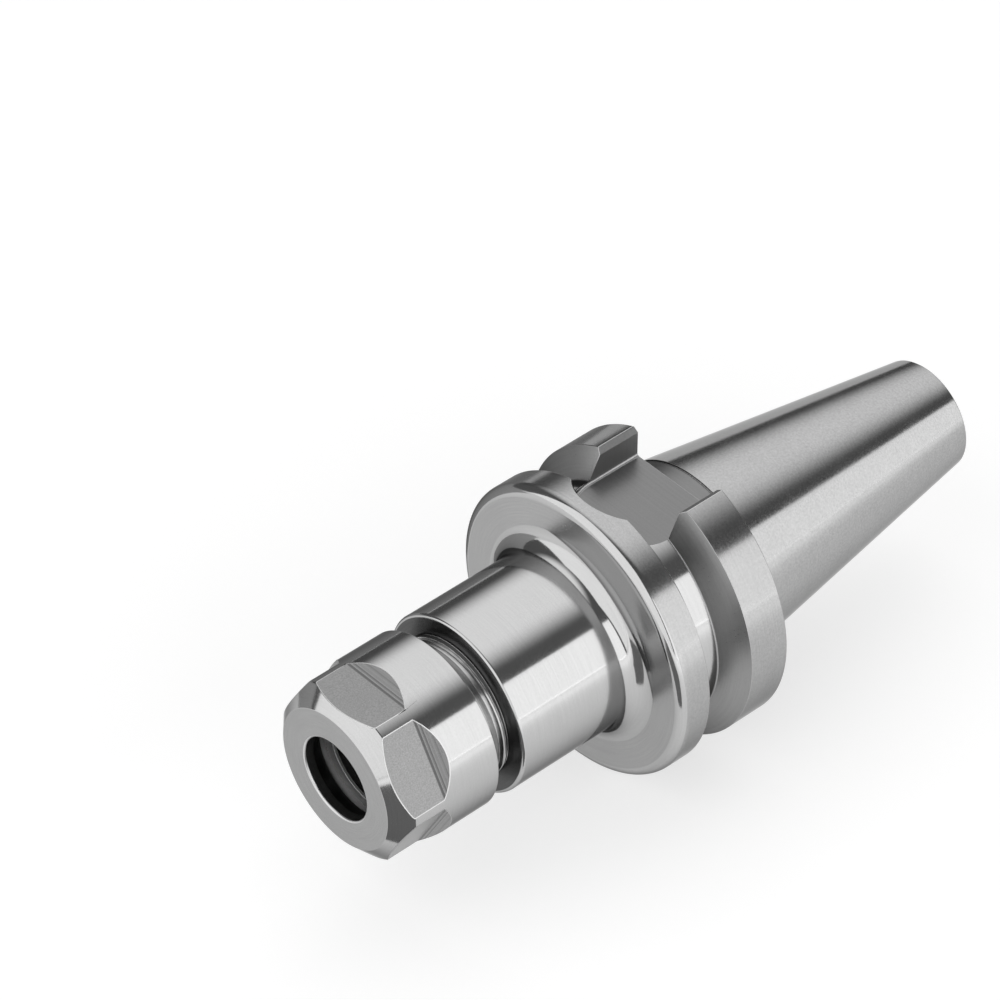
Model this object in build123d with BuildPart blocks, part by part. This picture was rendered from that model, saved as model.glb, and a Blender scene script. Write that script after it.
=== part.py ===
# Collet chuck holder: a size 30 steep taper shank with gripper flange, collet seat and clamping nut.
# Millimetres. The holder's axis is X, with the nut towards -X and the taper towards +X.
# The origin is the centre of the gauge plane, where the taper measures its nominal diameter.
# +Z points out through one of the two drive slots.

import os
from math import hypot, radians, tan

from build123d import *

# Taper shank
gauge_d = 31.75
taper_per_mm = 7 / 24
taper_length = 48.4
neck_d = 31.3
neck_past_gauge = 1.0

# Drawbar hole in the small end
drawbar_drill_d = 10.2
drawbar_hole_depth = 34.0
pilot_d = 12.5
pilot_depth = 7.0
pilot_chamfer = 0.5

# Gripper flange
flange_d = 46.0
flange_rear_gap = 2.0
flange_width = 20.0
flange_front_r = 1.6
groove_width = 8.1
groove_from_gauge = 12.8
groove_depth = 4.3
groove_angle = 60.0

# Drive slots
slot_width = 16.1
slot_floor = 16.3
slot_length = 17.2
slot_chamfer = 1.0

# Nose and its threaded spigot
nose_d = 28.0
nose_fillet_r = 3.0
shoulder_from_gauge = 43.2
shoulder_chamfer = 0.8
spigot_length = 15.6
thread_d = 22.0
thread_clearance = 0.05
spigot_chamfer = 1.1

# Collet seat and the bores behind it
seat_mouth_d = 17.0
seat_half_angle = 8.0
seat_chamfer = 0.3
shank_bore_d = 10.2
shank_bore_depth = 46.0
through_bore_d = 6.5

# Clamping nut
projection = 65.0
nut_length = 17.6
nut_d = 27.5
nut_face_d = 21.92
nut_cone_length = 2.4
hex_width = 24.6
hex_length = 7.75
hex_runout = 2.1
hex_turn = 1.4
flat_count = 6
nut_hole_d = 12.9
nut_hole_length = 1.6
nut_hole_chamfer = 0.35
nut_cone_half_angle = 30.0
nut_recess_d = 17.4
nut_recess_start = 3.7
nut_recess_width = 0.9
lip_width = 0.7
lip_bore_d = 16.4
lip_offset = 0.35

# Places along the axis that follow from the sizes above
tip_x = -shoulder_from_gauge - spigot_length
shoulder_x = -shoulder_from_gauge
flange_rear_x = -flange_rear_gap
flange_front_x = flange_rear_x - flange_width
nut_front_x = -projection
nut_rear_x = nut_front_x + nut_length
lip_front_x = nut_front_x + nut_recess_start + nut_recess_width
lip_rear_x = lip_front_x + lip_width
spigot_d = thread_d - 2 * thread_clearance
small_end_d = gauge_d - taper_length * taper_per_mm
cutter_margin = 2.0
match_tolerance = 0.01


def ring_edges(shape, x, diameter):
    """Circular edges about the X axis at the given place and diameter."""
    circles = shape.edges().filter_by(GeomType.CIRCLE)
    at_place = circles.filter_by(lambda edge: abs(edge.arc_center.X - x) < match_tolerance)
    return at_place.filter_by(lambda edge: abs(2 * edge.radius - diameter) < match_tolerance)


def at_radius(edges, radius):
    """Those of the edges whose middle lies at the given distance from the X axis."""
    return edges.filter_by(lambda edge: abs(hypot(edge.center().Y, edge.center().Z) - radius) < match_tolerance)


def drive_slot_cutter(side):
    """A round-ended milling cut, open at the flange's rear face, above (1) or below (-1) the axis."""
    arc_x = flange_rear_x - slot_length + slot_width / 2
    open_x = flange_rear_x + cutter_margin
    floor_plane = Plane(origin=(0, 0, side * slot_floor), x_dir=(1, 0, 0), z_dir=(0, 0, side))
    with BuildPart() as cutter:
        with BuildSketch(floor_plane):
            with Locations((arc_x, 0)):
                Circle(slot_width / 2)
            with Locations(((arc_x + open_x) / 2, 0)):
                Rectangle(open_x - arc_x, slot_width)
        extrude(amount=flange_d / 2 - slot_floor + cutter_margin)
    return cutter.part


def neck_outline():
    """Points of the neck and the small step up to the ground taper."""
    taper_start_d = gauge_d - neck_past_gauge * taper_per_mm
    return [
        (flange_rear_x, neck_d / 2),
        (neck_past_gauge, neck_d / 2),
        (neck_past_gauge, taper_start_d / 2),
    ]


def gripper_groove_outline():
    """Points of the V-groove between the two rims of the flange."""
    floor_r = flange_d / 2 - groove_depth
    flank_run = groove_depth * tan(radians(groove_angle / 2))
    front = -groove_from_gauge - groove_width / 2
    rear = front + groove_width
    return [
        (front, flange_d / 2),
        (front + flank_run, floor_r),
        (rear - flank_run, floor_r),
        (rear, flange_d / 2),
    ]


def holder_outline():
    """The turned outside of the holder, from the spigot's tip to the taper's small end."""
    points = [
        (tip_x, 0),
        (tip_x, spigot_d / 2 - spigot_chamfer),
        (tip_x + spigot_chamfer, spigot_d / 2),
        (shoulder_x, spigot_d / 2),
        (shoulder_x, nose_d / 2 - shoulder_chamfer),
        (shoulder_x + shoulder_chamfer, nose_d / 2),
        (flange_front_x, nose_d / 2),
        (flange_front_x, flange_d / 2),
    ]
    points += gripper_groove_outline()
    points += [(flange_rear_x, flange_d / 2)]
    points += neck_outline()
    points += [
        (taper_length, small_end_d / 2),
        (taper_length, 0),
    ]
    return points


def holder_bore_outline():
    """The collet seat, the shank bore, the through bore and the drawbar hole."""
    cone_run = (seat_mouth_d - shank_bore_d) / 2 / tan(radians(seat_half_angle))
    shank_bore_end = tip_x + shank_bore_depth
    drawbar_start = taper_length - drawbar_hole_depth
    pilot_x = taper_length - pilot_depth
    return [
        (tip_x, 0),
        (tip_x, seat_mouth_d / 2 + seat_chamfer),
        (tip_x + seat_chamfer, seat_mouth_d / 2),
        (tip_x + seat_chamfer + cone_run, shank_bore_d / 2),
        (shank_bore_end, shank_bore_d / 2),
        (shank_bore_end, through_bore_d / 2),
        (drawbar_start, through_bore_d / 2),
        (drawbar_start, drawbar_drill_d / 2),
        (pilot_x, drawbar_drill_d / 2),
        (pilot_x, pilot_d / 2),
        (taper_length - pilot_chamfer, pilot_d / 2),
        (taper_length, pilot_d / 2 + pilot_chamfer),
        (taper_length, 0),
    ]


def nut_outline():
    """The turned outside of the nut, with the cone that leads to its front face."""
    return [
        (nut_front_x, 0),
        (nut_front_x, nut_face_d / 2),
        (nut_front_x + nut_cone_length, nut_d / 2),
        (nut_rear_x, nut_d / 2),
        (nut_rear_x, 0),
    ]


def nut_bore_outline():
    """The nut's front hole, its collet cone, the recess behind it and the thread."""
    hole_end = nut_front_x + nut_hole_length
    recess_start = nut_front_x + nut_recess_start
    cone_run = recess_start - hole_end
    cone_end_r = nut_hole_d / 2 + cone_run * tan(radians(nut_cone_half_angle))
    return [
        (nut_front_x, 0),
        (nut_front_x, nut_hole_d / 2 + nut_hole_chamfer),
        (nut_front_x + nut_hole_chamfer, nut_hole_d / 2),
        (hole_end, nut_hole_d / 2),
        (recess_start, cone_end_r),
        (recess_start, nut_recess_d / 2),
        (lip_front_x, nut_recess_d / 2),
        (lip_front_x, 0),
    ]


def nut_thread_outline():
    """The threaded chamber behind the lip, open at the nut's rear."""
    return [
        (lip_rear_x, 0),
        (lip_rear_x, thread_d / 2),
        (nut_rear_x, thread_d / 2),
        (nut_rear_x, 0),
    ]


slot_cutters = [drive_slot_cutter(side) for side in (1, -1)]

# Holder body, one turned, milled and ground piece
with BuildPart() as holder_body:
    with BuildSketch(Plane.XZ):
        with BuildLine():
            Polyline(*holder_outline(), close=True)
        make_face()
    revolve(axis=Axis.X)
    fillet(ring_edges(holder_body.part, flange_front_x, nose_d), nose_fillet_r)
    fillet(ring_edges(holder_body.part, flange_front_x, flange_d), flange_front_r)
    with BuildSketch(Plane.XZ):
        with BuildLine():
            Polyline(*holder_bore_outline(), close=True)
        make_face()
    revolve(axis=Axis.X, mode=Mode.SUBTRACT)
    for cutter_part in slot_cutters:
        add(cutter_part, mode=Mode.SUBTRACT)
    straight_edges = holder_body.edges().filter_by(GeomType.LINE).filter_by(Axis.X)
    chamfer(at_radius(straight_edges, flange_d / 2), slot_chamfer)
holder_body.part.label = "holder_body"

# Clamping nut, turned in one piece with its off-centre collet lip, then six flats milled on it
with BuildPart() as clamping_nut:
    with BuildSketch(Plane.XZ):
        with BuildLine():
            Polyline(*nut_outline(), close=True)
        make_face()
    revolve(axis=Axis.X)
    for bore_outline in (nut_bore_outline(), nut_thread_outline()):
        with BuildSketch(Plane.XZ):
            with BuildLine():
                Polyline(*bore_outline, close=True)
            make_face()
        revolve(axis=Axis.X, mode=Mode.SUBTRACT)
    with BuildSketch(Plane.YZ.offset(lip_front_x)):
        with Locations((0, -lip_offset)):
            Circle(lip_bore_d / 2)
    extrude(amount=lip_width, mode=Mode.SUBTRACT)
    flat_height = hex_width / 2
    cut_height = nut_d / 2 + cutter_margin
    runout_per_mm = hex_runout / ((nut_d - hex_width) / 2)
    flat_end = nut_front_x + hex_length
    for flat_number in range(flat_count):
        flat_angle = flat_number * 360 / flat_count
        with BuildSketch(Plane.XZ.rotated((flat_angle - hex_turn, 0, 0))):
            with BuildLine():
                Polyline(
                    (nut_front_x - cutter_margin, flat_height),
                    (flat_end, flat_height),
                    (flat_end + runout_per_mm * (cut_height - flat_height), cut_height),
                    (nut_front_x - cutter_margin, cut_height),
                    close=True,
                )
            make_face()
        extrude(amount=nut_d / 2, both=True, mode=Mode.SUBTRACT)
clamping_nut.part.label = "clamping_nut"

os.makedirs("parts", exist_ok=True)
export_step(holder_body.part, "parts/holder_body.step")
export_step(clamping_nut.part, "parts/clamping_nut.step")
print("overall length", taper_length - nut_front_x, "mm, flange", flange_d, "mm")
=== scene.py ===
import bpy
import bmesh
import math
from mathutils import Matrix, Vector


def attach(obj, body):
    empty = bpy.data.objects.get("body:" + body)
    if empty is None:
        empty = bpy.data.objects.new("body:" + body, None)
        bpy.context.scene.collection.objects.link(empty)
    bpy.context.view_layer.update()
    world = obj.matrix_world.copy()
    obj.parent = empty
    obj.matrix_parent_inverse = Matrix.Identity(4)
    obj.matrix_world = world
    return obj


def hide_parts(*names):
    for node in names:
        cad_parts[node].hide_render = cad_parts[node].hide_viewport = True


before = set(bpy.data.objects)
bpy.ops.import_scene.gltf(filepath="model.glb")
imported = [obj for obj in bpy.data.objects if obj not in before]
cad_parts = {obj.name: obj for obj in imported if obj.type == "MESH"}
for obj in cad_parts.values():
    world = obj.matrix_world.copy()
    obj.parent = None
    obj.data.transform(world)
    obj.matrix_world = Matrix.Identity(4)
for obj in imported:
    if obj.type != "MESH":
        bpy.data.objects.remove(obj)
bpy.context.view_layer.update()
print("frame loaded")

mm = 0.001


# small helpers for node trees and meshes

def plug(tree, socket, value):
    if isinstance(value, bpy.types.NodeSocket):
        tree.links.new(value, socket)
    else:
        socket.default_value = value


def mathNode(tree, operation, *values):
    node = tree.nodes.new("ShaderNodeMath")
    node.operation = operation
    for socket, value in zip(node.inputs, values):
        plug(tree, socket, value)
    return node.outputs[0]


def mapRange(tree, value, low, high, toLow, toHigh, smooth=False):
    node = tree.nodes.new("ShaderNodeMapRange")
    node.interpolation_type = "SMOOTHSTEP" if smooth else "LINEAR"
    plug(tree, node.inputs["Value"], value)
    node.inputs["From Min"].default_value = low
    node.inputs["From Max"].default_value = high
    node.inputs["To Min"].default_value = toLow
    node.inputs["To Max"].default_value = toHigh
    return node.outputs["Result"]


def combine(tree, x, y, z):
    node = tree.nodes.new("ShaderNodeCombineXYZ")
    for socket, value in zip(node.inputs, (x, y, z)):
        plug(tree, socket, value)
    return node.outputs[0]


def separate(tree, vector):
    node = tree.nodes.new("ShaderNodeSeparateXYZ")
    tree.links.new(vector, node.inputs[0])
    return node.outputs


def newTree(name, inputs):
    tree = bpy.data.node_groups.new(name, "GeometryNodeTree")
    tree.interface.new_socket("Geometry", in_out="INPUT", socket_type="NodeSocketGeometry")
    for label, kind in inputs:
        tree.interface.new_socket(label, in_out="INPUT", socket_type=kind)
    tree.interface.new_socket("Geometry", in_out="OUTPUT", socket_type="NodeSocketGeometry")
    start = tree.nodes.new("NodeGroupInput")
    end = tree.nodes.new("NodeGroupOutput")
    return tree, start.outputs, end


def endTree(tree, geometry, material, end):
    realize = tree.nodes.new("GeometryNodeRealizeInstances")
    paint = tree.nodes.new("GeometryNodeSetMaterial")
    tree.links.new(geometry, realize.inputs["Geometry"])
    tree.links.new(realize.outputs["Geometry"], paint.inputs["Geometry"])
    tree.links.new(material, paint.inputs["Material"])
    tree.links.new(paint.outputs["Geometry"], end.inputs["Geometry"])


def runTree(obj, tree, values):
    modifier = obj.modifiers.new("shape", "NODES")
    modifier.node_group = tree
    sockets = {item.name: item.identifier for item in tree.interface.items_tree if item.in_out == "INPUT"}
    for label, value in values.items():
        modifier[sockets[label]] = value
    bakeModifiers(obj)


def bakeModifiers(obj):
    bpy.context.view_layer.update()
    graph = bpy.context.evaluated_depsgraph_get()
    mesh = bpy.data.meshes.new_from_object(obj.evaluated_get(graph))
    obj.modifiers.clear()
    obj.data = mesh


def meshObject(name, points, edges, faces):
    mesh = bpy.data.meshes.new(name)
    mesh.from_pydata(points, edges, faces)
    obj = bpy.data.objects.new(name, mesh)
    bpy.context.scene.collection.objects.link(obj)
    return obj


def turnOutwards(mesh):
    work = bmesh.new()
    work.from_mesh(mesh)
    bmesh.ops.remove_doubles(work, verts=work.verts, dist=0.0002 * mm)
    bmesh.ops.recalc_face_normals(work, faces=work.faces)
    if work.calc_volume(signed=True) < 0:
        bmesh.ops.reverse_faces(work, faces=work.faces)
    work.to_mesh(mesh)
    work.free()


# profiles of turned parts: every corner is (along, radius, rounding) in millimetres

largeRounding = 0.5       # a rounding above this gets the finer arc
crestTolerance = 0.01     # a point this near to the thread's radius lies on its crest
shortStretch = 1.0        # a stretch of the crest up to this length isn't divided
ringsOutside = 10.9       # extra points are added outside this radius


def roundedProfile(sizes):
    corners = sizes["corners"]
    points = []
    for number, (along, radius, rounding) in enumerate(corners):
        here = Vector((along, radius))
        if rounding == 0:
            points.append(here)
            continue
        before = (Vector(corners[number - 1][:2]) - here).normalized()
        after = (Vector(corners[(number + 1) % len(corners)][:2]) - here).normalized()
        half = before.angle(after) / 2
        centre = here + (before + after).normalized() * (rounding / math.sin(half))
        start = here + before * (rounding / math.tan(half)) - centre
        end = here + after * (rounding / math.tan(half)) - centre
        steps = sizes["arcSteps"] if rounding > largeRounding else sizes["microSteps"]
        for step in range(steps + 1):
            mixed = start.slerp(end, step / steps)
            points.append(centre + mixed.normalized() * rounding)
    return points


def divideStretch(points, sizes):
    # extra points: close ones where the thread is cut, and a few along the outside
    divided = []
    for number, point in enumerate(points):
        following = points[(number + 1) % len(points)]
        divided.append(point)
        onCrest = all(abs(end.y - sizes["threadRadius"]) < crestTolerance for end in (point, following))
        length = (following - point).length
        if onCrest and length > shortStretch:
            step = 1 if following.x > point.x else -1
            place = point.x + step * sizes["threadSpacing"]
            while (following.x - place) * step > sizes["threadSpacing"] / 2:
                divided.append(Vector((place, point.y)))
                shown = place > sizes["threadShown"]
                place += step * sizes["threadShownSpacing" if shown else "threadSpacing"]
        elif min(point.y, following.y) > ringsOutside:
            divided += [point.lerp(following, (place - point.x) / (following.x - point.x))
                        for place in sizes["rings"] if point.x < place < following.x]
    return divided


# geometry nodes for what is turned and what repeats round the axis

flankSlope = math.sqrt(3)      # the sides of a 60 degree thread
leadInTurns = 0.3              # the thread deepens over this part of a turn at its start
crestGap = 0.01 * mm           # only points this near to the thread's radius are cut
mergeDistance = 0.001 * mm


def turningTree():
    # spins a profile about the X axis and cuts a helical thread into one stretch of it
    tree, given, end = newTree("turning", [
        ("Profile points", "NodeSocketInt"), ("Segments", "NodeSocketInt"),
        ("Thread start", "NodeSocketFloat"), ("Thread end", "NodeSocketFloat"),
        ("Thread radius", "NodeSocketFloat"), ("Thread depth", "NodeSocketFloat"),
        ("Pitch", "NodeSocketFloat"), ("Runout turns", "NodeSocketFloat"), ("Tool tip", "NodeSocketFloat"),
        ("Material", "NodeSocketMaterial"),
    ])
    # a flat grid: the profile runs across it and the turn round the axis runs up it
    grid = tree.nodes.new("GeometryNodeMeshGrid")
    tree.links.new(mathNode(tree, "ADD", given["Profile points"], 1.0), grid.inputs["Vertices X"])
    tree.links.new(mathNode(tree, "ADD", given["Segments"], 1.0), grid.inputs["Vertices Y"])
    gridPlace = separate(tree, tree.nodes.new("GeometryNodeInputPosition").outputs[0])
    across = mathNode(tree, "ADD", gridPlace[0], 0.5)
    turn = mathNode(tree, "ADD", gridPlace[1], 0.5)
    number = mathNode(tree, "ROUND", mathNode(tree, "MULTIPLY", across, given["Profile points"]))
    number = mathNode(tree, "MODULO", number, given["Profile points"])
    sample = tree.nodes.new("GeometryNodeSampleIndex")
    sample.data_type = "FLOAT_VECTOR"
    sample.domain = "POINT"
    tree.links.new(given["Geometry"], sample.inputs["Geometry"])
    tree.links.new(tree.nodes.new("GeometryNodeInputPosition").outputs[0], sample.inputs["Value"])
    tree.links.new(number, sample.inputs["Index"])
    profilePlace = separate(tree, sample.outputs["Value"])
    along, radius = profilePlace[0], profilePlace[1]
    # how far the tool's flank lies above its tip at this place
    phase = mathNode(tree, "ADD", mathNode(tree, "DIVIDE", along, given["Pitch"]), turn)
    phase = mathNode(tree, "FRACT", phase)
    offMiddle = mathNode(tree, "ABSOLUTE", mathNode(tree, "SUBTRACT", phase, 0.5))
    offMiddle = mathNode(tree, "MULTIPLY", offMiddle, given["Pitch"])
    flank = mathNode(tree, "MAXIMUM", mathNode(tree, "SUBTRACT", offMiddle, given["Tool tip"]), 0.0)
    flank = mathNode(tree, "MULTIPLY", flank, flankSlope)
    # the depth fades at both ends of the thread
    deep = given["Thread depth"]
    fadeIn = mathNode(tree, "SUBTRACT", along, given["Thread start"])
    fadeIn = mathNode(tree, "DIVIDE", fadeIn, given["Pitch"])
    fadeOut = mathNode(tree, "SUBTRACT", given["Thread end"], along)
    fadeOut = mathNode(tree, "DIVIDE", fadeOut, given["Pitch"])
    fadeOut = mathNode(tree, "DIVIDE", fadeOut, given["Runout turns"])
    for fade, full in ((fadeIn, leadInTurns), (fadeOut, 1.0)):
        deep = mathNode(tree, "MULTIPLY", deep, mapRange(tree, fade, 0.0, full, 0.0, 1.0))
    offCrest = mathNode(tree, "ABSOLUTE", mathNode(tree, "SUBTRACT", radius, given["Thread radius"]))
    onCrest = mathNode(tree, "LESS_THAN", offCrest, crestGap)
    cut = mathNode(tree, "MAXIMUM", mathNode(tree, "SUBTRACT", deep, flank), 0.0)
    cut = mathNode(tree, "MULTIPLY", cut, onCrest)
    cutRadius = mathNode(tree, "SUBTRACT", radius, cut)
    angle = mathNode(tree, "MULTIPLY", turn, math.tau)
    sideways = mathNode(tree, "MULTIPLY", cutRadius, mathNode(tree, "SINE", angle))
    upwards = mathNode(tree, "MULTIPLY", cutRadius, mathNode(tree, "COSINE", angle))
    move = tree.nodes.new("GeometryNodeSetPosition")
    tree.links.new(grid.outputs["Mesh"], move.inputs["Geometry"])
    tree.links.new(combine(tree, along, sideways, upwards), move.inputs["Position"])
    merge = tree.nodes.new("GeometryNodeMergeByDistance")
    merge.inputs["Distance"].default_value = mergeDistance
    tree.links.new(move.outputs["Geometry"], merge.inputs["Geometry"])
    endTree(tree, merge.outputs["Geometry"], given["Material"], end)
    return tree


def ringTree():
    # repeats a cutter round the X axis
    tree, given, end = newTree("ring of cuts", [
        ("Count", "NodeSocketInt"), ("Turn", "NodeSocketFloat"), ("Material", "NodeSocketMaterial"),
    ])
    line = tree.nodes.new("GeometryNodeMeshLine")
    line.inputs["Offset"].default_value = (0, 0, 0)
    tree.links.new(given["Count"], line.inputs["Count"])
    number = tree.nodes.new("GeometryNodeInputIndex")
    share = mathNode(tree, "DIVIDE", number.outputs[0], given["Count"])
    angle = mathNode(tree, "SUBTRACT", mathNode(tree, "MULTIPLY", share, math.tau), given["Turn"])
    repeat = tree.nodes.new("GeometryNodeInstanceOnPoints")
    tree.links.new(line.outputs["Mesh"], repeat.inputs["Points"])
    tree.links.new(given["Geometry"], repeat.inputs["Instance"])
    tree.links.new(combine(tree, angle, 0.0, 0.0), repeat.inputs["Rotation"])
    endTree(tree, repeat.outputs["Instances"], given["Material"], end)
    return tree


turning = turningTree()
ringOfCuts = ringTree()
print("node trees made")


# steel finishes, all procedural

steelGrain = {
    "lineDetail": 3.0, "lineRoughness": 0.6, "grainDetail": 4.0, "grainRoughness": 0.6,
    "cloudScale": 160.0, "cloudDetail": 3.0, "cloudRoughness": 0.5, "cloudShare": 0.15,
    "low": 0.3, "high": 0.7,      # the noise between these two is spread over the whole change
    "roughFromGrain": 0.6, "roughFromCloud": 0.4, "toneOverBands": 0.35,
}


def noiseNode(tree, vector, scale, detail, roughness):
    node = tree.nodes.new("ShaderNodeTexNoise")
    tree.links.new(vector, node.inputs["Vector"])
    node.inputs["Scale"].default_value = scale
    node.inputs["Detail"].default_value = detail
    node.inputs["Roughness"].default_value = roughness
    return node.outputs["Fac"]


def mixColor(tree, factor, first, second):
    node = tree.nodes.new("ShaderNodeMix")
    node.data_type = "RGBA"
    plug(tree, node.inputs["Factor"], factor)
    plug(tree, node.inputs["A"], first)
    plug(tree, node.inputs["B"], second)
    return node.outputs["Result"]


def weightedSum(tree, *pairs):
    total = None
    for value, weight in pairs:
        part = mathNode(tree, "MULTIPLY", value, weight)
        total = part if total is None else mathNode(tree, "ADD", total, part)
    return total


def toolLines(tree, look, x, y, z):
    # tool lines are fine across and long along: round the axis, or straight over a milled face
    squared = mathNode(tree, "ADD", mathNode(tree, "MULTIPLY", y, y), mathNode(tree, "MULTIPLY", z, z))
    radius = mathNode(tree, "MAXIMUM", mathNode(tree, "SQRT", squared), 0.1 * mm)
    step = radius if look["lines"] == "faced" else x
    sides = [y, z]
    if look["lines"] != "milled":
        sides = [mathNode(tree, "DIVIDE", side, radius) for side in sides]
    vector = combine(tree, mathNode(tree, "MULTIPLY", step, look["lineScale"]),
                     *[mathNode(tree, "MULTIPLY", side, look["lineLength"]) for side in sides])
    return noiseNode(tree, vector, 1.0, steelGrain["lineDetail"], steelGrain["lineRoughness"])


def greyBandsAlongAxis(tree, x, bands):
    # bands of set grey at set places along the axis: a near-black band and a bright line just past the
    # flat's end, then fainter light and dark bands
    ramp = tree.nodes.new("ShaderNodeValToRGB")
    first, last = bands[0][0], bands[-1][0]
    tree.links.new(mapRange(tree, x, first * mm, last * mm, 0.0, 1.0), ramp.inputs["Fac"])
    while len(ramp.color_ramp.elements) < len(bands):
        ramp.color_ramp.elements.new(1.0)
    for element, (place, level) in zip(ramp.color_ramp.elements, bands):
        element.position = (place - first) / (last - first)
        element.color = gray(level)
    return ramp.outputs["Color"]


def steelFinish(name, look):
    material = bpy.data.materials.new(name)
    material.use_nodes = True
    tree = material.node_tree
    shader = tree.nodes["Principled BSDF"]
    shader.inputs["Metallic"].default_value = 1.0
    shader.inputs["Specular Tint"].default_value = look["edgeTint"]
    place = tree.nodes.new("ShaderNodeTexCoord").outputs["Object"]
    x, y, z = separate(tree, place)
    lines = toolLines(tree, look, x, y, z)
    grain = noiseNode(tree, place, look["grainScale"], steelGrain["grainDetail"],
                      steelGrain["grainRoughness"])
    cloud = noiseNode(tree, place, steelGrain["cloudScale"], steelGrain["cloudDetail"],
                      steelGrain["cloudRoughness"])
    low, high = steelGrain["low"], steelGrain["high"]
    # colour: tool lines, fine grain and a broad soft change
    grainShare = 1.0 - steelGrain["cloudShare"] - look["lineShare"]
    tone = weightedSum(tree, (lines, look["lineShare"]), (grain, grainShare),
                       (cloud, steelGrain["cloudShare"]))
    tone = mapRange(tree, tone, low, high, 0.0, 1.0)
    if look["bands"]:
        tone = mathNode(tree, "MULTIPLY", tone, steelGrain["toneOverBands"])
        tone = mathNode(tree, "ADD", tone, greyBandsAlongAxis(tree, x, look["bands"]))
    tree.links.new(mixColor(tree, tone, look["dark"], look["light"]), shader.inputs["Base Color"])
    rough = weightedSum(tree, (grain, steelGrain["roughFromGrain"]), (cloud, steelGrain["roughFromCloud"]))
    rough = mapRange(tree, rough, low, high, look["smooth"], look["rough"])
    tree.links.new(rough, shader.inputs["Roughness"])
    height = weightedSum(tree, (lines, look["lineDepth"]), (grain, look["grainDepth"]))
    bump = tree.nodes.new("ShaderNodeBump")
    bump.inputs["Distance"].default_value = look["bumpDistance"]
    bump.inputs["Strength"].default_value = 1.0
    tree.links.new(height, bump.inputs["Height"])
    tree.links.new(bump.outputs["Normal"], shader.inputs["Normal"])
    return material


def gray(level):
    return (level, level, level, 1.0)


def steelLook(lines, light, dark, smooth, rough, lineScale=6000.0, lineLength=2.0, lineDepth=0.5,
              grainScale=4000.0, grainDepth=0.5, bumpDistance=0.000004, lineShare=0.45, edgeTint=0.2,
              bands=None):
    return {
        "lines": lines, "light": gray(light), "dark": gray(dark), "smooth": smooth, "rough": rough,
        "lineScale": lineScale, "lineLength": lineLength, "lineDepth": lineDepth,
        "grainScale": grainScale, "grainDepth": grainDepth, "bumpDistance": bumpDistance,
        "lineShare": lineShare, "edgeTint": gray(edgeTint), "bands": bands,
    }


# kind of tool lines, lightest and darkest grey, smoothest and roughest
finishes = {
    "polishedSteel": steelLook("turned", 0.53, 0.46, 0.08, 0.14, bumpDistance=0.000001, edgeTint=0.35),
    "groundSteel": steelLook("turned", 0.45, 0.34, 0.12, 0.20, grainScale=3200.0, grainDepth=0.8,
                             bumpDistance=0.0000015, lineShare=0.3, edgeTint=0.5),
    "facedSteel": steelLook("faced", 0.50, 0.41, 0.20, 0.28, bumpDistance=0.000003),
    # painted shade: a darker grey on the gripper groove's flanks and the step faces by the neck
    "recessPaintedShade": steelLook("faced", 0.36, 0.28, 0.26, 0.38, bumpDistance=0.000006),
    # painted shade: the slot floors and the neck take a darker copy of the slot walls' milled finish
    "milledFloorPaintedShade": steelLook("milled", 0.25, 0.19, 0.30, 0.42, lineScale=3000.0, bumpDistance=0.000006),
    "slotWallSteel": steelLook("milled", 0.42, 0.34, 0.30, 0.42, lineScale=3000.0, bumpDistance=0.000006),
    "flatSteel": steelLook("milled", 0.33, 0.19, 0.28, 0.40, grainScale=5200.0, grainDepth=1.0,
                           bumpDistance=0.000007, lineShare=0.05, edgeTint=1.0),
    # the runouts carry set grey bands along the axis, near-black and bright just past the flat's end
    "runoutSteel": steelLook("milled", 0.42, 0.05, 0.24, 0.34, lineScale=7000.0, lineDepth=1.0,
                             grainDepth=0.15, bumpDistance=0.000006, lineShare=0.75, edgeTint=1.0, bands=[
                                 (-57.3, 0.5), (-57.2, 0.06), (-56.98, 0.08), (-56.9, 0.62), (-56.82, 0.25),
                                 (-56.6, 0.15), (-56.5, 0.5), (-56.4, 0.3), (-56.1, 0.42), (-55.9, 0.25),
                                 (-55.4, 0.4), (-54.6, 0.3)]),
    "taperSteel": steelLook("turned", 0.46, 0.34, 0.10, 0.18, grainScale=3000.0, grainDepth=0.8,
                            bumpDistance=0.0000012, lineShare=0.2, edgeTint=0.6),
    "threadSteel": steelLook("turned", 0.50, 0.40, 0.14, 0.22, bumpDistance=0.000002),
    # painted shade: the shoulder face in the gap behind the nut is a very dark grey
    "shoulderPaintedShade": steelLook("faced", 0.18, 0.14, 0.22, 0.28, bumpDistance=0.000001),
    "tipSteel": steelLook("faced", 0.55, 0.45, 0.45, 0.60, bumpDistance=0.000004),
    # painted shade: bores and the inside of the nut are a dark grey
    "borePaintedShade": steelLook("turned", 0.26, 0.17, 0.26, 0.38, bumpDistance=0.000004),
    # painted light: the collet lip inside the nut is a very light grey, as if lit through the hole
    "lipPaintedLight": steelLook("faced", 0.85, 0.75, 0.45, 0.60, bumpDistance=0.000001, edgeTint=1.0),
    # painted highlight: broken edges and the nut's hole edge are a lighter grey
    "edgePaintedHighlight": steelLook("turned", 0.66, 0.58, 0.25, 0.35, bumpDistance=0.000002),
}
materials = {name: steelFinish(name, look) for name, look in finishes.items()}
print("finishes made")


# shaping and finishing, the same for both pieces

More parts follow.
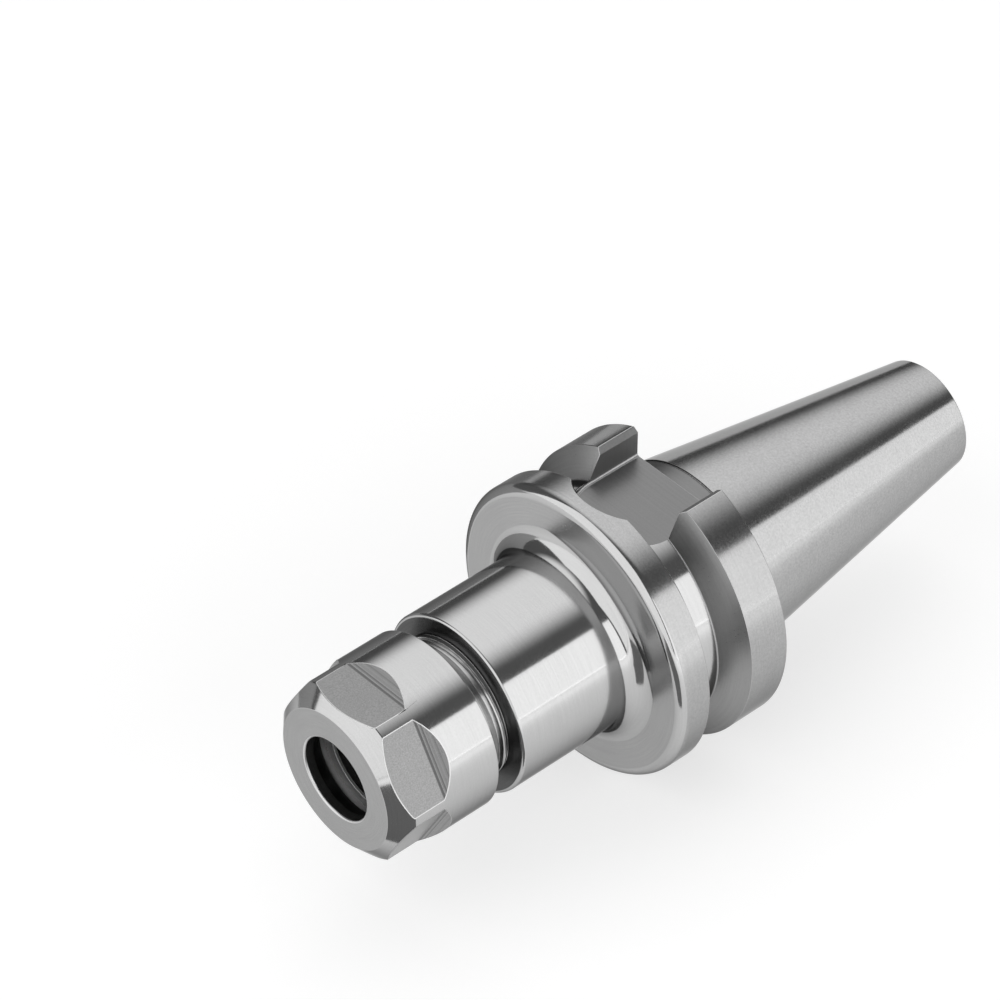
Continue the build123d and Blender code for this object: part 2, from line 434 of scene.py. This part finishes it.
def turnBlank(name, sizes):
    profile = divideStretch(roundedProfile(sizes), sizes)
    count = len(profile)
    obj = meshObject(name, [(point.x * mm, point.y * mm, 0) for point in profile],
                     [(number, (number + 1) % count) for number in range(count)], [])
    runTree(obj, turning, {
        "Profile points": count, "Segments": sizes["segments"],
        "Thread start": sizes["threadStart"] * mm, "Thread end": sizes["threadEnd"] * mm,
        "Thread radius": sizes["threadRadius"] * mm, "Thread depth": sizes["threadDepth"] * mm,
        "Pitch": sizes["threadPitch"] * mm, "Runout turns": sizes["runoutTurns"],
        "Tool tip": sizes["toolTip"] * mm, "Material": materials["polishedSteel"],
    })
    turnOutwards(obj.data)
    return obj


def cutterObject(name, rings):
    # closed rings of as many points each, in millimetres, joined into one solid
    size = len(rings[0])
    points = [(x * mm, y * mm, z * mm) for ring in rings for x, y, z in ring]
    faces = [list(range(size)), list(range(len(points) - 1, len(points) - size - 1, -1))]
    for base in range(0, len(points) - size, size):
        for number in range(size):
            here, following = base + number, base + (number + 1) % size
            faces.append([here, here + size, following + size, following])
    obj = meshObject(name, points, [], faces)
    turnOutwards(obj.data)
    return obj


def cutAway(obj, cutter, count, turn, finish):
    runTree(cutter, ringOfCuts, {"Count": count, "Turn": turn, "Material": materials[finish]})
    modifier = obj.modifiers.new("cut", "BOOLEAN")
    modifier.operation = "DIFFERENCE"
    modifier.solver = "EXACT"
    modifier.object = cutter
    bakeModifiers(obj)
    bpy.data.objects.remove(cutter)


def breakEdges(obj, milled, sizes):
    # the milled cuts have slightly broken edges
    mesh = obj.data
    sides = {}
    for polygon in mesh.polygons:
        for key in polygon.edge_keys:
            sides.setdefault(key, []).append(polygon)
    weights = mesh.attributes.new("bevel_weight_edge", "FLOAT", "EDGE")
    for edge in mesh.edges:
        pair = sides.get(edge.key, [])
        if len(pair) != 2 or (pair[0].material_index in milled) == (pair[1].material_index in milled):
            continue
        if pair[0].normal.angle(pair[1].normal, 0) > math.radians(sizes["sharpEdge"]):
            weights.data[edge.index].value = 1.0
    modifier = obj.modifiers.new("edges", "BEVEL")
    modifier.limit_method = "WEIGHT"
    modifier.width = sizes["edgeWidth"] * mm
    modifier.segments = 2
    modifier.use_clamp_overlap = False
    modifier.loop_slide = False
    # the bevels take the last finish, the painted edge highlight
    modifier.material = len(mesh.materials) - 1
    bakeModifiers(obj)


smoothUpTo = {"turned": 25, "milled": 25, "threaded": 80}    # degrees between faces that shade as one


def smoothNormals(mesh, milled, threaded):
    # turned faces shade as perfectly round, milled ones as flat, and each keeps the edge between them
    rules = []
    for polygon in mesh.polygons:
        x, y, z = polygon.center
        nx, ny, nz = polygon.normal
        if polygon.material_index in milled:
            rules.append(("milled", Vector((nx, ny, nz))))
        else:
            outwards = math.copysign(math.hypot(ny, nz), y * ny + z * nz)
            kind = "threaded" if polygon.material_index in threaded else "turned"
            rules.append((kind, Vector((nx, outwards, 0.0))))
    around = [[] for vertex in mesh.vertices]
    for polygon in mesh.polygons:
        for number in polygon.vertices:
            around[number].append(polygon.index)
    limits = {kind: math.cos(math.radians(angle)) for kind, angle in smoothUpTo.items()}
    normals = [Vector((0, 0, 0))] * len(mesh.loops)
    for polygon in mesh.polygons:
        kind, own = rules[polygon.index]
        for loopNumber in polygon.loop_indices:
            vertex = mesh.loops[loopNumber].vertex_index
            total = Vector((0, 0, 0))
            for neighbour in around[vertex]:
                otherKind, other = rules[neighbour]
                if otherKind == kind and own.dot(other) > limits[kind]:
                    total += other * mesh.polygons[neighbour].area
            total = total.normalized() if total.length > 0 else own
            if kind != "milled":
                x, y, z = mesh.vertices[vertex].co
                radius = max(math.hypot(y, z), 0.001 * mm)
                total = Vector((total.x, total.y * y / radius, total.y * z / radius))
            normals[loopNumber] = total
    mesh.normals_split_custom_set(normals)


def finishPiece(obj, pickFinish, names, milledNames, sizes):
    # the last of the names is the finish of the broken edges, a lighter grey that paints a highlight on them
    mesh = obj.data
    mesh.materials.clear()
    for name in names:
        mesh.materials.append(materials[name])
    for polygon in mesh.polygons:
        x, y, z = polygon.center
        finish = pickFinish(x / mm, math.hypot(y, z) / mm, z / mm, polygon.normal)
        polygon.material_index = names.index(finish)
        polygon.use_smooth = True
    milled = [names.index(name) for name in milledNames]
    breakEdges(obj, milled, sizes)
    threaded = [number for number, name in enumerate(names) if name == "threadSteel"]
    smoothNormals(obj.data, milled + [len(names) - 1], threaded)


# holder body: lengths in millimetres, angles in degrees

holderSizes = {
    "corners": [
        (-58.8, 8.8, 0), (-58.8, 9.85, 0.1), (-57.7, 10.95, 0.1),        # spigot tip
        (-43.4, 10.95, 0.04), (-43.36, 10.8, 0), (-43.2, 10.8, 0.08),    # thread and its relief
        (-43.2, 14.0, 0.5), (-22.0, 14.0, 3.0),                          # shoulder and nose
        (-22.0, 23.0, 1.6), (-16.85, 23.0, 0.12),                        # front rim
        (-14.367, 18.7, 0.3), (-11.233, 18.7, 0.3),                      # gripper groove
        (-8.75, 23.0, 0.12), (-2.0, 23.0, 0.22),                         # rear rim
        (-2.0, 15.65, 0.3), (1.0, 15.65, 0.05),                          # neck
        (1.0, 15.35, 0), (1.35, 15.35, 0),                               # thin groove before the taper
        (1.35, 15.678, 0.04), (48.4, 8.817, 0.25),                       # ground taper
        (48.4, 6.75, 0.05), (47.9, 6.25, 0), (41.4, 6.25, 0),            # pilot for the pull stud
        (41.4, 5.1, 0.1), (14.4, 5.1, 0),                                # drawbar hole
        (14.4, 3.25, 0), (-12.8, 3.25, 0),                               # through bore
        (-12.8, 5.1, 0), (-34.31, 5.1, 0), (-58.5, 8.5, 0),              # shank bore and collet seat
    ],
    "segments": 256, "microSteps": 4, "arcSteps": 12, "edgeWidth": 0.06, "sharpEdge": 20,
    "threadRadius": 10.95, "threadDepth": 0.92, "threadPitch": 1.5, "runoutTurns": 1.6,
    "threadStart": -57.9, "threadEnd": -43.45, "threadSpacing": 0.1, "toolTip": 0.13,
    "threadShown": -47.9, "threadShownSpacing": 0.04, "rings": [],
    "slots": 2, "slotWidth": 16.1, "slotFloor": 16.3, "slotTop": 27.0, "slotOpen": 2.0,
    "slotArc": -11.15, "slotArcSteps": 64, "slotCorner": 0.5, "slotCornerSteps": 5,
    "chamfer": [(7.587, 20.23), (9.44, 21.49), (8.2, 24.0)], "chamferFrom": -9.4, "chamferTo": -1.0,
    "flangeRadius": 23.0, "flangeRounding": 1.6, "flangeRoundingEnd": -20.4,
    "groove": (-16.85, -8.75), "grooveFloor": 18.7, "flankAngle": 30,
    # where one finish ends and the next begins, with limits on the parts of a face's normal
    "finish": {
        "tipEnd": -58.78, "seatRadius": 8.9, "shoulder": (-43.21, -43.19), "boreRadius": 9,
        "flangeFace": (-22.01, -21.9), "squareFace": 0.999,
        "slots": (-19.3, -2.01), "slotFloor": 16.2, "slotTop": 22.99, "slotSkin": 0.05, "levelFace": 0.95,
        "rims": (-22, -2.0), "rimRadius": 22.9, "frontRimEnd": -20.2, "frontRimRadius": 16,
        "groove": (-16.9, -8.7), "grooveFloor": 18.6, "grooveFloorLean": 0.1,
        "taperStart": 1.2, "neckRadius": 15, "neckLean": 0.5, "pilotRadius": 6.8, "taperLean": 0.9,
    },
}


def slotCutter(sizes):
    # round-ended milling cut with a rounded bottom corner
    corner = sizes["slotCorner"]
    layers = []
    for step in range(sizes["slotCornerSteps"] + 1):
        angle = math.radians(90 / sizes["slotCornerSteps"] * step)
        layers.append((corner * (1 - math.sin(angle)), sizes["slotFloor"] + corner * (1 - math.cos(angle))))
    layers.append((0.0, sizes["slotTop"]))
    rings = []
    for inset, height in layers:
        reach = sizes["slotWidth"] / 2 - inset
        ring = [(sizes["slotOpen"], -reach, height)]
        for step in range(sizes["slotArcSteps"] + 1):
            angle = math.pi * step / sizes["slotArcSteps"]
            ring.append((sizes["slotArc"] - reach * math.sin(angle), -reach * math.cos(angle), height))
        ring.append((sizes["slotOpen"], reach, height))
        rings.append(ring)
    return cutterObject("slotCutter", rings)


def chamferCutter(sizes, side):
    rings = [[(x, side * y, z) for y, z in sizes["chamfer"]]
             for x in (sizes["chamferFrom"], sizes["chamferTo"])]
    return cutterObject("chamferCutter", rings)


def belowFlange(x, radius, sizes):
    # how far below the turned outline of the flange a point lies
    outline = sizes["flangeRadius"]
    front, rear = sizes["groove"]
    if front < x < rear:
        depth = min(x - front, rear - x) / math.tan(math.radians(sizes["flankAngle"]))
        outline = max(sizes["grooveFloor"], outline - depth)
    if x < sizes["flangeRoundingEnd"]:
        rounding = sizes["flangeRounding"]
        drop = math.sqrt(max(0.0, rounding ** 2 - (x - sizes["flangeRoundingEnd"]) ** 2))
        outline = sizes["flangeRadius"] - rounding + drop
    return outline - radius


def holderFinish(x, radius, z, normal):
    places = holderSizes["finish"]
    outside = radius > places["boreRadius"]
    inSlot = (places["slots"][0] < x < places["slots"][1] and abs(z) > places["slotFloor"]
              and radius < places["slotTop"])
    if x < places["tipEnd"]:
        return "tipSteel"
    if x < places["shoulder"][0]:
        return "borePaintedShade" if radius < places["seatRadius"] else "threadSteel"
    if x < places["shoulder"][1] and outside:
        return "shoulderPaintedShade"
    if x < places["flangeFace"][0]:
        return "polishedSteel" if outside else "borePaintedShade"
    if x < places["flangeFace"][1] and outside:
        return "polishedSteel" if abs(normal.x) < places["squareFace"] else "facedSteel"
    if inSlot and belowFlange(x, radius, holderSizes) > places["slotSkin"]:
        # level faces in the slots take the darker copy, painted shade
        return "milledFloorPaintedShade" if abs(normal.z) > places["levelFace"] else "slotWallSteel"
    if places["rims"][0] < x < places["rims"][1] and radius > places["rimRadius"]:
        return "groundSteel"
    if x < places["frontRimEnd"] and radius > places["frontRimRadius"]:
        return "polishedSteel"
    if places["groove"][0] < x < places["groove"][1] and radius > places["grooveFloor"]:
        return "polishedSteel" if abs(normal.x) < places["grooveFloorLean"] else "recessPaintedShade"
    if x < places["taperStart"] and radius > places["neckRadius"]:
        return "recessPaintedShade" if abs(normal.x) > places["neckLean"] else "milledFloorPaintedShade"
    if x > places["taperStart"] and radius > places["pilotRadius"]:
        return "taperSteel" if abs(normal.x) < places["taperLean"] else "facedSteel"
    return "borePaintedShade"


def buildHolder():
    obj = turnBlank("holderSteelBody", holderSizes)
    cutters = [slotCutter(holderSizes), chamferCutter(holderSizes, 1), chamferCutter(holderSizes, -1)]
    for cutter in cutters:
        cutAway(obj, cutter, holderSizes["slots"], 0.0, "milledFloorPaintedShade")
    names = ["polishedSteel", "groundSteel", "facedSteel", "recessPaintedShade", "taperSteel", "threadSteel",
             "borePaintedShade", "shoulderPaintedShade", "tipSteel", "milledFloorPaintedShade", "slotWallSteel", "edgePaintedHighlight"]
    finishPiece(obj, holderFinish, names, ["milledFloorPaintedShade", "slotWallSteel"], holderSizes)
    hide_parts("holder_body")
    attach(obj, "holder")
    print("holder body made", len(obj.data.polygons))


# clamping nut: lengths in millimetres, angles in degrees

nutSizes = {
    "corners": [
        (-65.0, 6.45, 0.3), (-65.0, 10.96, 0.12), (-62.6, 13.75, 0.5),   # hole's edge, face and cone
        (-47.4, 13.75, 0.25), (-47.4, 11.5, 0.05), (-47.9, 11.0, 0),     # rear edge and mouth
        (-58.9, 11.0, 0), (-58.9, 7.5, 0.06), (-59.4, 7.5, 0.06),        # threaded chamber and collet lip
        (-59.4, 9.4, 0), (-61.3, 9.4, 0), (-61.3, 7.662, 0),             # recess
        (-63.4, 6.45, 0),                                                # collet cone and hole
    ],
    "segments": 256, "microSteps": 4, "arcSteps": 8, "edgeWidth": 0.08, "sharpEdge": 20,
    "threadRadius": 11.0, "threadDepth": 0.85, "threadPitch": 1.5, "runoutTurns": 0.3,
    "threadStart": -58.8, "threadEnd": -47.95, "threadSpacing": 0.1, "toolTip": 0.1,
    "threadShown": 0.0, "threadShownSpacing": 0.1, "rings": [-63.0, -60.5, -58.5, -54.8, -51.5],
    "lip": (-59.41, -58.89), "lipRadius": 7.57, "lipOffset": 0.35,
    "flats": 6, "turn": 1.4, "flatHeight": 12.3, "flatHalfWidth": 13.9, "flatStart": -67.0,
    "flatEnd": -57.25, "runoutSlope": 1.448, "cutHeight": 16.0,
    # where one finish ends and the next begins, with limits on the parts of a face's normal
    "finish": {
        "holeEdge": -64.7, "holeEdgeRadius": 6.75, "lip": (-59.5, -58.8), "lipRadius": 9.4,
        "insideEnd": -47.5, "insideRadius": 11.1, "squareFace": 0.999,
        "flatRadius": (12.0, 13.7), "flatLean": 0.001, "runout": (-57.3, -54.5), "runoutLean": (0.4, 0.7),
    },
}


def nutFinish(x, radius, z, normal):
    places = nutSizes["finish"]
    lean = abs(normal.x)
    leastLean, mostLean = places["runoutLean"]
    if x < places["holeEdge"] and radius < places["holeEdgeRadius"]:
        return "edgePaintedHighlight"
    if places["lip"][0] < x < places["lip"][1] and radius < places["lipRadius"]:
        return "lipPaintedLight"
    # painted shade: the nut's inside takes the dark grey
    if places["holeEdge"] < x < places["insideEnd"] and radius < places["insideRadius"]:
        return "borePaintedShade"
    if lean > places["squareFace"]:
        return "facedSteel"
    if lean < places["flatLean"] and places["flatRadius"][0] < radius < places["flatRadius"][1]:
        return "flatSteel"
    if places["runout"][0] < x < places["runout"][1] and leastLean < lean < mostLean:
        return "runoutSteel"
    return "polishedSteel"


def flatCutter(sizes):
    rise = (sizes["cutHeight"] - sizes["flatHeight"]) * sizes["runoutSlope"]
    outline = [
        (sizes["flatStart"], sizes["flatHeight"]), (sizes["flatEnd"], sizes["flatHeight"]),
        (sizes["flatEnd"] + rise, sizes["cutHeight"]), (sizes["flatStart"], sizes["cutHeight"]),
    ]
    rings = [[(x, y, z) for x, z in outline] for y in (-sizes["flatHalfWidth"], sizes["flatHalfWidth"])]
    return cutterObject("flatCutter", rings)


def moveLip(mesh, sizes):
    # the collet lip is off centre
    for vertex in mesh.vertices:
        x, y, z = vertex.co / mm
        if sizes["lip"][0] < x < sizes["lip"][1] and math.hypot(y, z) < sizes["lipRadius"]:
            vertex.co.z -= sizes["lipOffset"] * mm


def buildNut():
    obj = turnBlank("nutSteelBody", nutSizes)
    moveLip(obj.data, nutSizes)
    for number in range(nutSizes["flats"] // 2):
        # opposite flats are cut in pairs, so that no two cutters overlap
        turn = math.radians(nutSizes["turn"]) + number * math.tau / nutSizes["flats"]
        cutAway(obj, flatCutter(nutSizes), 2, turn, "flatSteel")
    names = ["polishedSteel", "facedSteel", "lipPaintedLight", "borePaintedShade", "flatSteel", "runoutSteel", "edgePaintedHighlight"]
    finishPiece(obj, nutFinish, names, ["flatSteel", "runoutSteel"], nutSizes)
    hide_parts("clamping_nut")
    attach(obj, "nut")
    print("nut made", len(obj.data.polygons))


buildHolder()
buildNut()


# floor, light and camera

paperFloor = {
    "half": 4.0, "height": -0.02302, "color": 0.5, "roughness": 0.9, "glow": 0.57,
    # painted reflection: the side glow is seen only in the steel
    "paintedReflection": 0.5, "paintedReflectionStart": -0.035, "paintedReflectionEnd": -0.25, "paintedReflectionFar": -0.8,
}

# the outlines are in millimetres, all else from here on in metres
# painted shadow: dark, faintly glowing cards on the floor that only the steel mirrors, in place of the
# object's shadow there
paintedShadowCards = {
    "frontPaintedShadow": {
        "height": -0.0229, "glow": 0.2,
        "outline": [(-78, -9), (-53, -22), (-46, -42), (-88, -82), (-290, -140), (-290, -105)],
    },
    "backPaintedShadow": {
        "height": -0.0229, "glow": 0.42,
        "outline": [(-36, 46), (-85, 105), (-200, 240), (-1600, 3000), (1400, 3000), (33, 46)],
    },
}

topLight = {"direction": (0.45, 0.363, 0.816), "edge": 0.66, "core": 0.95, "strength": 1.28, "dark": 0.13}

# strength is how bright a soft box's face looks
softBoxes = {
    "sideSoftBox": {"centre": (0.8, -1.0, 0.467), "facing": (0, 1, 0), "width": 2.7, "height": 0.98,
                    "strength": 1.5},
    "leftSoftBox": {"centre": (-1.2, 0.1, 1.6), "facing": (1, 0, 0), "width": 3.5, "height": 3.2,
                    "strength": 1.24},
}

photoCamera = {
    "place": (-0.34964, -0.35326, 0.45947), "right": (0.74682, -0.66503, 0.0),
    "up": (0.44530, 0.50007, 0.74273), "lens": 171.247, "sensor": 36.0, "nearest": 0.01, "farthest": 50.0,
}


def makeFloor(sizes):
    half, height = sizes["half"], sizes["height"]
    floor = meshObject("paperFloor", [(-half, -half, height), (half, -half, height), (half, half, height),
                                      (-half, half, height)], [], [(0, 1, 2, 3)])
    paper = bpy.data.materials.new("paleFloor")
    paper.use_nodes = True
    tree = paper.node_tree
    shader = tree.nodes["Principled BSDF"]
    shader.inputs["Base Color"].default_value = gray(sizes["color"])
    shader.inputs["Roughness"].default_value = sizes["roughness"]
    shader.inputs["Specular IOR Level"].default_value = 0.0
    shader.inputs["Emission Color"].default_value = gray(1.0)
    # the paper looks white to the camera and in the steel, and keeps the shadow
    path = tree.nodes.new("ShaderNodeLightPath")
    seen = mathNode(tree, "MAXIMUM", path.outputs["Is Camera Ray"], path.outputs["Is Glossy Ray"])
    seen = mathNode(tree, "MAXIMUM", seen, path.outputs["Is Transmission Ray"])
    glow = mathNode(tree, "MULTIPLY", seen, sizes["glow"])
    # painted reflection: a glow that only the steel sees, stronger towards the side soft box
    y = separate(tree, tree.nodes.new("ShaderNodeTexCoord").outputs["Object"])[1]
    paintedReflectionGlow = mapRange(tree, y, sizes["paintedReflectionStart"], sizes["paintedReflectionEnd"], 0.0, sizes["paintedReflection"], True)
    paintedReflectionFade = mapRange(tree, y, sizes["paintedReflectionFar"], sizes["paintedReflectionEnd"], 0.0, 1.0, True)
    paintedReflectionGlow = mathNode(tree, "MULTIPLY", mathNode(tree, "MULTIPLY", paintedReflectionGlow, paintedReflectionFade), path.outputs["Is Glossy Ray"])
    tree.links.new(mathNode(tree, "ADD", glow, paintedReflectionGlow), shader.inputs["Emission Strength"])
    floor.data.materials.append(paper)


def makePaintedShadowCard(name, sizes):
    # painted shadow: a dark, faintly glowing card on the floor which only the steel mirrors, standing in for
    # the object's shadow on the floor
    outline = [(x * mm, y * mm, sizes["height"]) for x, y in sizes["outline"]]
    shadowCard = meshObject(name, outline, [], [list(range(len(outline)))])
    shadowPaint = bpy.data.materials.new(name)
    shadowPaint.use_nodes = True
    shader = shadowPaint.node_tree.nodes["Principled BSDF"]
    shader.inputs["Base Color"].default_value = gray(0.0)
    shader.inputs["Specular IOR Level"].default_value = 0.0
    shader.inputs["Emission Color"].default_value = gray(1.0)
    shader.inputs["Emission Strength"].default_value = sizes["glow"]
    shadowCard.data.materials.append(shadowPaint)
    shadowCard.visible_camera = False
    shadowCard.visible_diffuse = False
    shadowCard.visible_shadow = False


def makeWorld(light):
    # a soft round light from above in a dark room
    world = bpy.data.worlds.new("studio")
    bpy.context.scene.world = world
    world.use_nodes = True
    tree = world.node_tree
    towardsTop = tree.nodes.new("ShaderNodeVectorMath")
    towardsTop.operation = "DOT_PRODUCT"
    tree.links.new(tree.nodes.new("ShaderNodeTexCoord").outputs["Generated"], towardsTop.inputs[0])
    towardsTop.inputs[1].default_value = light["direction"]
    glow = mapRange(tree, towardsTop.outputs["Value"], light["edge"], light["core"],
                    light["dark"], light["strength"], True)
    tree.links.new(combine(tree, glow, glow, glow), tree.nodes["Background"].inputs["Color"])


def makeSoftBox(name, box):
    lamp = bpy.data.lights.new(name, "AREA")
    lamp.shape = "RECTANGLE"
    lamp.size = box["width"]
    lamp.size_y = box["height"]
    lamp.energy = box["strength"] * math.pi * box["width"] * box["height"]
    obj = bpy.data.objects.new(name, lamp)
    bpy.context.scene.collection.objects.link(obj)
    turn = Vector(box["facing"]).to_track_quat("-Z", "Y").to_matrix().to_4x4()
    obj.matrix_world = Matrix.Translation(box["centre"]) @ turn
    obj.visible_camera = False


def makeCamera(sizes):
    data = bpy.data.cameras.new("photoCamera")
    data.sensor_width = sizes["sensor"]
    data.lens = sizes["lens"]
    data.clip_start = sizes["nearest"]
    data.clip_end = sizes["farthest"]
    obj = bpy.data.objects.new("photoCamera", data)
    bpy.context.scene.collection.objects.link(obj)
    right = Vector(sizes["right"]).normalized()
    up = Vector(sizes["up"]).normalized()
    turn = Matrix((right, up, right.cross(up))).transposed().to_4x4()
    obj.matrix_world = Matrix.Translation(sizes["place"]) @ turn
    bpy.context.scene.camera = obj


makeFloor(paperFloor)
for name, sizes in paintedShadowCards.items():
    makePaintedShadowCard(name, sizes)
makeWorld(topLight)
for name, box in softBoxes.items():
    makeSoftBox(name, box)
makeCamera(photoCamera)
bpy.context.scene.view_settings.view_transform = "Standard"
print("stage made")
